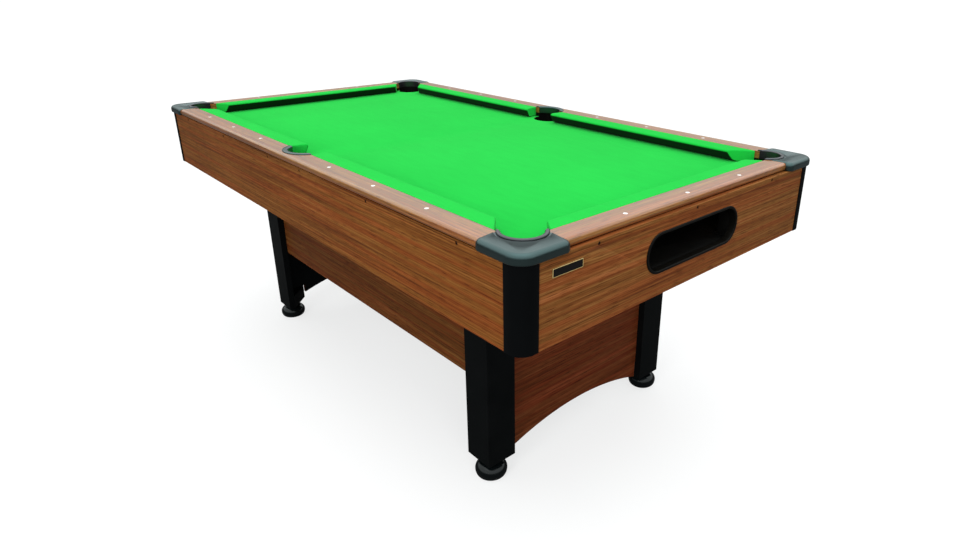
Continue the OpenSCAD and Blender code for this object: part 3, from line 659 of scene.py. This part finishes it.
side_width = wood_y - size_of("cushion_back_return")[0].y
end_width = wood_x - size_of("cushion_return_end")[0].x
nose_y, nose_x = wood_y - side_width, wood_x - end_width
corner_lip_w = 12.0
lip_reach = corner_r + corner_lip_w
side_tip_in, end_tip_in, mouth_tip = 85.0, 63.0, 62.0
side_tip, end_tip = nose_x - side_tip_in, nose_y - end_tip_in
side_rail_end = corner_x - math.sqrt(lip_reach ** 2 - (corner_y - wood_y) ** 2)
end_rail_end = corner_y - math.sqrt(lip_reach ** 2 - (corner_x - wood_x) ** 2)
side_lip_w = 16.0
mouth_rail_end = math.sqrt((side_r + side_lip_w) ** 2 - (side_y - wood_y) ** 2)


def cut_line(at_rail, at_nose, width):
    return lambda u: at_rail + (at_nose - at_rail) * u / width


def side_cushion(name, sx, sy):
    mesh = cushion_mesh(name, side_width, cut_line(mouth_rail_end, mouth_tip, side_width),
                        cut_line(side_rail_end, side_tip, side_width),
                        lambda at, u, z: (at, wood_y - 0.3 - u, z))
    return turned(wrapped(mesh), sx, sy)


def end_cushion(name, sx):
    end = cut_line(end_rail_end, end_tip, end_width)
    mesh = cushion_mesh(name, end_width, lambda u: -end(u), end, lambda at, u, z: (wood_x - 0.3 - u, at, z))
    return turned(wrapped(mesh), sx, 1)


for corner, (sx, sy) in corners.items():
    name = "cushion_" + corner
    cushion = side_cushion(name, sx, sy)
    add_piece(name, cushion, cushion_green_painted_shade, "table", [name], 60)
for name, sx in (("cushion_return_end", 1), ("cushion_far_end", -1)):
    cushion = end_cushion(name, sx)
    add_piece(name, cushion, cushion_green_painted_shade, "table", [name], 60)


# The corner caps: moulded plastic that wraps the mitre, with rolled edges,
# and a raised ring round the pocket that stands in a shallow groove.
def moulded(name, base, roughness, shine, grain=0.10, tint=(1.0, 1.0, 1.0, 1.0)):
    material, tree, shader = principled(name, base, roughness, Specular_IOR_Level=shine, Specular_Tint=tint)
    hazy = noise(tree, 14.0, 6.0, 0.65)
    uneven(tree, shader, hazy, roughness - 0.05, roughness + 0.08, 0.3, 0.7)
    mottled = ramp(tree, hazy, [(0.3, tuple(c * 0.9 for c in base)), (0.7, tuple(c * 1.1 for c in base))])
    tree.links.new(mottled, shader.inputs["Base Color"])
    bump(tree, shader, noise(tree, 700.0, 2.0), grain, 0.00012)
    return material


cap_plastic = moulded("grey_cap_plastic", (0.0032, 0.0040, 0.0040), 0.32, 1.0, tint=(0.62, 1.0, 1.0, 1.0))
lip_plastic = moulded("grey_lip_plastic", (0.010, 0.0095, 0.011), 0.32, 0.75, tint=(0.92, 0.92, 1.0, 1.0))


def rounded_ring(corner_list, steps=10):
    """Plan points of an outline whose corners have their own radii."""
    out = []
    n = len(corner_list)
    for k, (x, y, r) in enumerate(corner_list):
        here = Vector((x, y))
        a = (Vector(corner_list[k - 1][:2]) - here).normalized()
        b = (Vector(corner_list[(k + 1) % n][:2]) - here).normalized()
        if r < 0.01:
            out.append(here)
            continue
        half = a.angle(b) / 2
        tangent = r / math.tan(half)
        centre = here + (a + b).normalized() * (r / math.sin(half))
        first, last = here + a * tangent - centre, here + b * tangent - centre
        sweep = first.angle_signed(last)
        out += [centre + Matrix.Rotation(-sweep * j / steps, 2) @ first for j in range(steps + 1)]
    return out


def rolled_prism(name, outline, low, high, roll, steps=6, held=(), under=0.0):
    """A prism on an outline, with its top edge rolled over by a radius, and
    its lower edge by another. Points near a held point keep a square edge."""
    count = len(outline)
    firm = [any((p - Vector(h)).length < 3 for h in held) for p in outline]

    def shrunk(inset):
        moved = []
        for j, p in enumerate(outline):
            q, s = outline[j - 1], outline[(j + 1) % count]
            m = Vector(((s - q).y, -(s - q).x)).normalized()
            moved.append(p if firm[j] else p - m * inset)
        return moved

    turns = quarter(steps)
    rings = [(outline, low)]
    if under:
        rings = [(shrunk(under * (1 - math.cos(a))), low + under * (1 - math.sin(a))) for a in turns[::-1]]
    rings += [(shrunk(roll * (1 - math.cos(a))), high - roll + roll * math.sin(a)) for a in turns]
    points = [(*p, z) for ring, z in rings for p in ring]
    faces = []
    for level in range(len(rings) - 1):
        a, b = level * count, (level + 1) * count
        faces += [(a + k, a + (k + 1) % count, b + (k + 1) % count, b + k) for k in range(count)]
    faces.append(tuple(range(count)))
    faces.append(tuple(range((len(rings) - 1) * count, len(rings) * count)))
    return mesh_from(name, points, faces)


def turned_profile(name, profile, centre, start=0.0, sweep=2 * math.pi, steps=96):
    """A closed section turned about an upright axis; profile holds (r, z)."""
    whole = abs(sweep - 2 * math.pi) < 1e-6
    n = len(profile)
    stations = steps if whole else steps + 1
    points = []
    for j in range(stations):
        a = start + sweep * j / steps
        points += [(centre[0] + r * math.cos(a), centre[1] + r * math.sin(a), z) for r, z in profile]
    faces = []
    for j in range(steps):
        p, q = j * n, ((j + 1) % stations) * n
        faces += [(p + k, p + (k + 1) % n, q + (k + 1) % n, q + k) for k in range(n)]
    if not whole:
        faces += [tuple(range(n)), tuple(range((stations - 1) * n, stations * n))]
    return mesh_from(name, points, faces)


cap_arm = 127.0
arm_x, arm_y = half_l - cap_arm, half_w - cap_arm
plate_top = rail_top + 2.5
groove_r = corner_r + 14


def box_cutter(low, high):
    plan = [(low[0], low[1]), (high[0], low[1]), (high[0], high[1]), (low[0], high[1])]
    return upright_cutter(plan, low[2], high[2])


def corner_cap_mesh():
    outline = rounded_ring([(arm_x, wood_y, 1.0), (wood_x, wood_y, 0.0), (wood_x, arm_y, 1.0),
                            (cap_high.x, arm_y, 17.0), (cap_high.x, cap_high.y, 42.0),
                            (arm_x, cap_high.y, 17.0)], 12)
    shell = rolled_prism("cap", outline, rail_under, plate_top, 11.5, 10,
                         [(arm_x, wood_y), (wood_x, wood_y), (wood_x, arm_y)], 4.0)
    x, y, r = rail_high.x + 0.4, rail_high.y + 0.4, plan_r + 0.4
    room = rounded_ring([(0, 0, 0.0), (x, 0, 0.0), (x, y, r), (0, y, 0.0)], 24)
    inside = rolled_prism("room", room, rail_under - 5, rail_top, 8.0, 10, [(0, 0), (x, 0), (0, y)])
    groove = turned_profile("groove", [(corner_r + 7, plate_top - 2.3), (groove_r - 1.6, plate_top - 2.3),
                                       (groove_r - 0.8, plate_top - 0.8), (groove_r + 0.4, plate_top + 0.2),
                                       (groove_r + 1.0, plate_top + 8), (corner_r + 7, plate_top + 8)],
                            (corner_x, corner_y))
    hole = cylinder_cutter(corner_x, corner_y, corner_r + 6, rail_under - 5, plate_top + 9)
    return cut_away(cut_away(shell, [hole, placed("cutter", groove)]), [placed("cutter", inside)])


def lip_mesh():
    top = plate_top + 1.8
    section = [(corner_r - 1.0, rail_top + 0.6), (corner_r - 1.0, top - 2.6)]
    section += [(corner_r + 2.6 - 3.6 * math.cos(a), top - 2.6 + 2.6 * math.sin(a))
                for a in quarter(6)[1:]]
    section += [(corner_r + 5.6, top)]
    section += [(corner_r + 5.6 + 3.0 * math.sin(a), top - 3.0 + 3.0 * math.cos(a))
                for a in quarter(6)[1:]]
    section += [(corner_r + 8.6, rail_top + 0.1), (corner_r + 3, rail_top + 0.1)]
    ring = turned_profile("lip", section, (corner_x, corner_y))
    ring = cut_away(ring, [box_cutter((wood_x - 200, wood_y - 200, 0), (wood_x, wood_y, 900))])
    rounded = bmesh.new()
    rounded.from_mesh(ring)
    ends = [f for f in rounded.faces if f.calc_area() > 20 * mm * mm and abs(f.normal.z) < 0.05
            and (abs(f.normal.x) > 0.99 or abs(f.normal.y) > 0.99)
            and f.calc_center_median().z > rail_top * mm]
    edges = {e for f in ends for e in f.edges if min(v.co.z for v in e.verts) > (rail_top + 1.5) * mm}
    bmesh.ops.bevel(rounded, geom=list(edges), offset=1.2 * mm, segments=3, profile=0.5, affect="EDGES")
    rounded.to_mesh(ring)
    rounded.free()
    collar = turned_profile("collar", [(corner_r - 1.0, rail_under + 0.2), (corner_r + 2.0, rail_under + 0.2),
                                       (corner_r + 2.0, rail_top + 1.0), (corner_r - 1.0, rail_top + 1.0)],
                            (corner_x, corner_y), -math.pi / 4, math.pi)
    return joined("lip", [ring, collar])


cap_shape, lip_shape = corner_cap_mesh(), lip_mesh()
for corner, (sx, sy) in corners.items():
    stands_for = ["corner_cap_" + corner]
    shell = turned(cap_shape, sx, sy)
    add_piece("corner_cap_" + corner, shell, cap_plastic, "table", stands_for, 50)
    lip = turned(lip_shape, sx, sy)
    add_piece("corner_lip_" + corner, lip, lip_plastic, "table", stands_for, 40)


# The side pockets' lips: flat U-shaped rings of the same plastic with a
# rolled inner edge, let into the rail in front of the cushions.
def side_lip_mesh():
    top, inner, outer = plate_top + 0.1, side_r, side_r + side_lip_w
    section = [(inner, rail_under + 0.2), (inner, top - 4)]
    section += [(inner + 4 - 4 * math.cos(a), top - 4 + 4 * math.sin(a))
                for a in quarter(6)[1:]]
    section += [(outer - 1.6, top), (outer - 0.5, top - 0.5), (outer, top - 1.5), (outer, rail_top + 0.05),
                (inner + 2.0, rail_top + 0.05), (inner + 2.0, rail_under + 0.2)]
    ring = turned_profile("side_lip", section, (0, side_y))
    return cut_away(ring, [box_cutter((-200, 0, 0), (200, wood_y + 0.2, 900)),
                           box_cutter((-200, rail_high.y, 0), (200, 900, 900))])


side_lip_shape = side_lip_mesh()
for name, sy in (("side_lip_front", -1), ("side_lip_back", 1)):
    lip = turned(side_lip_shape, 1, sy)
    add_piece(name, lip, cap_plastic, "table", [name], 40)


# Pocket cups, gullies, ramps and ball box: thin black moulded plastic. The
# cups' rims are rounded; the box's mouth is closed in by the return rim.
dark_plastic = moulded("black_plastic", (0.0030, 0.0028, 0.0026), 0.45, 0.12)
for name in ("pocket_cups", "gully_front", "gully_back", "return_ramps", "ball_box"):
    add_piece(name, broken_edges(name, 0.4, 20.0), dark_plastic, "table", [name])


# The corner posts: hollow black plastic covers between the aprons, with a
# broad rounded outer edge.
post_plastic = moulded("black_post_plastic", (0.0018, 0.0021, 0.0024), 0.48, 0.05)
for corner in corners:
    name = "corner_post_" + corner
    add_piece(name, broken_edges(name, 0.6, 30.0), post_plastic, "table", [name], 30)


# The ball-return rim: a rounded black bezel on the end apron with a sleeve
# that lines the opening.
rim_low, rim_high = size_of("return_rim")
rim_face, rim_back = rim_high.x, rim_low.x
rim_w = 7.0
rim_black = moulded("black_rim_plastic", (0.0030, 0.0026, 0.0020), 0.42, 0.10)


def slot_ring(inset):
    half_y, half_z = rim_high.y - inset, (rim_high.z - rim_low.z) / 2 - inset
    r = half_z - 2
    middle = (rim_high.z + rim_low.z) / 2
    ring = []
    for cy, cz, turn in ((1, 1, 0), (-1, 1, 1), (-1, -1, 2), (1, -1, 3)):
        for k in range(17):
            a = math.pi / 2 * (turn + k / 16)
            ring.append((cy * (half_y - r) + r * math.cos(a), middle + cz * (half_z - r) + r * math.sin(a)))
    return ring


def slot_piece(name, profile):
    """A closed section run round the slot; profile holds (inset, x)."""
    points, n = [], len(profile)
    for inset, x in profile:
        ring = slot_ring(inset)
        points += [(x, *p) for p in ring]
    count = len(ring)
    faces = [(k * count + j, k * count + (j + 1) % count, ((k + 1) % n) * count + (j + 1) % count,
              ((k + 1) % n) * count + j) for k in range(n) for j in range(count)]
    return mesh_from(name, points, faces)


bezel = [(0.0, half_l), (0.0, rim_face - 1.6), (0.5, rim_face - 0.6), (1.6, rim_face),
         (rim_w - 2.6, rim_face), (rim_w - 1.2, rim_face - 0.4), (rim_w - 0.3, rim_face - 1.4),
         (rim_w, rim_face - 2.8), (rim_w, rim_back),
         (rim_w - 2.4, rim_back), (rim_w - 2.4, half_l)]
add_piece("return_rim", slot_piece("return_rim", bezel), rim_black, "table", ["return_rim"], 40)


# The blank name plate: black enamel with a thin gold line set in from its
# edge and a gold border, glued to the end apron. It carries no lettering.
plate_low, plate_high = size_of("name_plate")
plate_r, border_w = 1.4, 1.1
plate_black, plate_tree, plate_shader = principled("plate_black_enamel", (0.005, 0.0045, 0.004), 0.40,
                                                   Specular_IOR_Level=0.15)
plate_gold, gold_tree, gold_shader = principled("plate_gold_line", (0.66, 0.49, 0.20), 0.40, Metallic=0.25)
for tree, shader in ((plate_tree, plate_shader), (gold_tree, gold_shader)):
    uneven(tree, shader, noise(tree, 260.0, 4.0), 0.22, 0.5)


def name_plate_mesh():
    x0, x1 = plate_low.x, plate_high.x
    levels = [(0.0, x0), (0.0, x1 - 0.5), (0.35, x1), (border_w, x1), (border_w, x1 - 0.3)]
    points = []
    for inset, x in levels:
        y0, y1 = plate_low.y + inset, plate_high.y - inset
        z0, z1 = plate_low.z + inset, plate_high.z - inset
        ring = rounded_ring([(y0, z0, plate_r), (y1, z0, plate_r), (y1, z1, plate_r), (y0, z1, plate_r)], 6)
        points += [(x, *p) for p in ring]
    count = len(ring)
    faces = [(a * count + k, a * count + (k + 1) % count,
              (a + 1) * count + (k + 1) % count, (a + 1) * count + k)
             for a in range(len(levels) - 1) for k in range(count)]
    faces += [tuple(range(count)), tuple(range((len(levels) - 1) * count, len(levels) * count))]
    mesh = mesh_from("name_plate", points, faces)
    mesh.materials.append(plate_black)
    mesh.materials.append(plate_gold)
    for polygon in mesh.polygons:
        c = polygon.center / mm
        edge = min(c.y - plate_low.y, plate_high.y - c.y, c.z - plate_low.z, plate_high.z - c.z)
        polygon.material_index = 1 if (c.x > x1 - 0.6 and edge < border_w + 0.05) else 0
    return mesh


add_piece("name_plate", name_plate_mesh(), plate_black, "table", ["name_plate"])


# Sights and screws, laid out by the centres of the pieces that they stand
# for. Sights are domed white discs; screws are dark, with a cross recess.
def solid_centres(name):
    whole = bmesh.new()
    whole.from_mesh(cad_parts[name].data)
    bmesh.ops.remove_doubles(whole, verts=whole.verts, dist=0.02 * mm)
    unseen, found = set(whole.verts), []
    while unseen:
        group, queue = [], [unseen.pop()]
        while queue:
            vert = queue.pop()
            group.append(vert.co.copy())
            for edge in vert.link_edges:
                other = edge.other_vert(vert)
                if other in unseen:
                    unseen.remove(other)
                    queue.append(other)
        low = Vector([min(p[a] for p in group) for a in range(3)])
        high = Vector([max(p[a] for p in group) for a in range(3)])
        found.append(((low + high) / 2, low, high))
    whole.free()
    return found


def scattered(name, places, shape, material, replaced):
    """One shape at each place; a place is a position and a rotation."""
    holder = bpy.data.meshes.new(name)
    holder.from_pydata([p for p, r in places], [], [])
    turn = holder.attributes.new("turn", "FLOAT_VECTOR", "POINT")
    turn.data.foreach_set("vector", [c for p, r in places for c in r])
    obj = placed(name, holder)
    shape_object = bpy.data.objects.new(name + "_shape", shape)
    group = bpy.data.node_groups.new(name, "GeometryNodeTree")
    group.interface.new_socket("Geometry", in_out="INPUT", socket_type="NodeSocketGeometry")
    given = {"Shape": shape_object, "Material": material, "Size": 1.0}
    for label, kind in (("Shape", "Object"), ("Material", "Material"), ("Size", "Float")):
        group.interface.new_socket(label, in_out="INPUT", socket_type="NodeSocket" + kind)
    group.interface.new_socket("Geometry", in_out="OUTPUT", socket_type="NodeSocketGeometry")
    start, end = group.nodes.new("NodeGroupInput"), group.nodes.new("NodeGroupOutput")
    info = group.nodes.new("GeometryNodeObjectInfo")
    copies = group.nodes.new("GeometryNodeInstanceOnPoints")
    named = group.nodes.new("GeometryNodeInputNamedAttribute")
    named.data_type = "FLOAT_VECTOR"
    named.inputs["Name"].default_value = "turn"
    real = group.nodes.new("GeometryNodeRealizeInstances")
    paint = group.nodes.new("GeometryNodeSetMaterial")
    link = group.links.new
    link(start.outputs["Shape"], info.inputs["Object"])
    link(start.outputs["Geometry"], copies.inputs["Points"])
    link(info.outputs["Geometry"], copies.inputs["Instance"])
    link(named.outputs["Attribute"], copies.inputs["Rotation"])
    link(start.outputs["Size"], copies.inputs["Scale"])
    link(copies.outputs["Instances"], real.inputs["Geometry"])
    link(real.outputs["Geometry"], paint.inputs["Geometry"])
    link(start.outputs["Material"], paint.inputs["Material"])
    link(paint.outputs["Geometry"], end.inputs["Geometry"])
    repeat = obj.modifiers.new(name, "NODES")
    repeat.node_group = group
    for item in group.interface.items_tree:
        if item.item_type == "SOCKET" and item.in_out == "INPUT" and item.name in given:
            repeat[item.identifier] = given[item.name]
    made = bpy.data.meshes.new_from_object(obj.evaluated_get(bpy.context.evaluated_depsgraph_get()))
    bpy.data.objects.remove(obj)
    bpy.data.objects.remove(shape_object)
    for attribute in [a for a in made.attributes if a.name == "turn"]:
        made.attributes.remove(attribute)
    return add_piece(name, made, material, "table", replaced, 35)


sight_white, sight_tree, sight_shader = principled("white_sight", (0.86, 0.86, 0.84), 0.25, Coat_Weight=0.4)
clouded = ramp(sight_tree, noise(sight_tree, 300.0, 2.0),
               [(0.3, (0.82, 0.81, 0.78)), (0.7, (0.92, 0.92, 0.90))])
sight_tree.links.new(clouded, sight_shader.inputs["Base Color"])
sights = [(Vector((c.x, c.y, high.z)), (0, 0, 0)) for c, low, high in solid_centres("sights")]
sight_r = 5.0
dome = [(0.0, -1.4), (sight_r, -1.4), (sight_r, -0.15)]
dome += [(sight_r * math.cos(a), -0.15 + 0.15 * math.sin(a))
         for a in quarter(5)[1:]]
sight_shape = turned_profile("sight", dome, (0, 0), steps=40)
scattered("sights", sights, sight_shape, sight_white, ["sights"])


def screw_mesh(head_r, length):
    profile = [(0.0, -0.9), (1.2, -0.9), (1.2, 0.0), (head_r - 1.0, 0.0), (head_r, -0.7), (head_r, -2.2),
               (2.2, -3.4)]
    z = -4.0
    while z > -length + 4:
        profile += [(2.2, z), (1.7, z - 0.7)]
        z -= 1.6
    profile += [(0.3, -length), (0.0, -length)]
    body = turned_profile("screw", profile, (0, 0), steps=28)
    return cut_away(body, [box_cutter((-2.6, -0.45, -1.6), (2.6, 0.45, 1)),
                           box_cutter((-0.45, -2.6, -1.6), (0.45, 2.6, 1))])


screw_dark, screw_tree, screw_shader = principled("bronzed_screw", (0.010, 0.005, 0.004), 0.6,
                                                  Specular_IOR_Level=0.1)
patina = ramp(screw_tree, noise(screw_tree, 500.0, 3.0),
              [(0.35, (0.008, 0.004, 0.003)), (0.7, (0.024, 0.012, 0.008))])
screw_tree.links.new(patina, screw_shader.inputs["Base Color"])
places = []
for c, low, high in solid_centres("apron_screws"):
    if high.x - low.x > high.y - low.y:
        head = Vector((high.x if c.x > 0 else low.x, c.y, c.z))
        places.append((head, (0, math.copysign(math.pi / 2, c.x), 0)))
    else:
        head = Vector((c.x, high.y if c.y > 0 else low.y, c.z))
        places.append((head, (-math.copysign(math.pi / 2, c.y), 0, 0)))
scattered("apron_screws", places, screw_mesh(4.0, 33.0), screw_dark, ["apron_screws"])


# Levelling feet. Each is a glossy black bulb that turns on a zinc-plated
# stud; the stud screws into an insert in the block inside the leg.
zinc, zinc_tree, zinc_shader = principled("zinc_plate", (0.62, 0.63, 0.64), 0.33, Metallic=1.0)
uneven(zinc_tree, zinc_shader, noise(zinc_tree, 180.0, 4.0), 0.22, 0.5)
inserts = broken_edges("foot_inserts", 0.2, 30.0)
add_piece("foot_inserts", inserts, zinc, "table", ["foot_inserts"])
foot_black = moulded("glossy_foot_plastic", (0.0022, 0.0032, 0.0036), 0.18, 0.24, 0.04)


def stud_mesh(low, high, r, collar_low, collar_high, collar_r):
    """A shank with a helical thread above its collar."""
    pitch = 1.5
    turns = int((high - collar_high - 1.0) / pitch)
    steps = 24
    rows = turns * steps
    points, faces = [], []
    section = [(0.0, r - 0.9), (0.35, r), (0.75, r), (1.10, r - 0.9)]
    for k in range(rows + 1):
        a = 2 * math.pi * k / steps
        z = collar_high + 0.6 + pitch * k / steps * (1 - pitch / (high - collar_high))
        points += [(q * math.cos(a), q * math.sin(a), z + dz) for dz, q in section]
        points.append(((r - 1.6) * math.cos(a), (r - 1.6) * math.sin(a), z + 0.5))
    for k in range(rows):
        p, q = k * 5, (k + 1) * 5
        faces += [(p + j, p + (j + 1) % 5, q + (j + 1) % 5, q + j) for j in range(5)]
    faces += [tuple(range(5)), tuple(range(rows * 5, rows * 5 + 5))]
    thread = mesh_from("thread", points, faces)
    root = r - 0.85
    shank = [(0.0, low), (r - 0.6, low), (r, low + 0.6), (r, collar_low), (collar_r - 0.8, collar_low),
             (collar_r, collar_low + 0.8), (collar_r, collar_high - 0.8), (collar_r - 0.8, collar_high),
             (root, collar_high), (root, high - 0.8), (r - 1.6, high), (0.0, high)]
    core = turned_profile("core", shank, (0, 0), steps=48)
    return joined("stud", [core, thread])


for corner in corners:
    low, high = size_of("pad_" + corner)
    centre = (low + high) / 2
    top, wide = high.z, (high.x - low.x) / 2
    base_r, side_z, crown_r, bore = wide * 0.77, 19.0, 12.5, 5.2
    profile = [(bore, 12.0), (bore - 5.0, 12.0), (0.0, 2.0), (base_r - 6.0, 2.0), (base_r - 5.0, 0.0),
               (base_r - 1.0, 0.0)]
    profile += [(base_r - 1.0 + (wide - base_r + 1.0) * math.sin(a), side_z * (1 - math.cos(a)))
                for a in quarter(12)[2:]]
    profile += [(crown_r + (wide - crown_r) * math.cos(a) ** 0.92,
                 side_z + (top - 1.0 - side_z) * math.sin(a))
                for a in quarter(18)[1:-1]]
    profile += [(crown_r, top), (bore, top)]
    add_piece("pad_" + corner, turned_profile("pad", profile, centre), foot_black,
              "pad_" + corner, ["pad_" + corner], 50)
    low, high = size_of("stud_" + corner)
    stud = stud_mesh(low.z, high.z, 4.95, top, top + 7.9, (high.x - low.x) / 2)
    stud.transform(Matrix.Translation(Vector((centre.x, centre.y, 0)) * mm))
    add_piece("stud_" + corner, stud, zinc, "stud_" + corner, ["stud_" + corner])
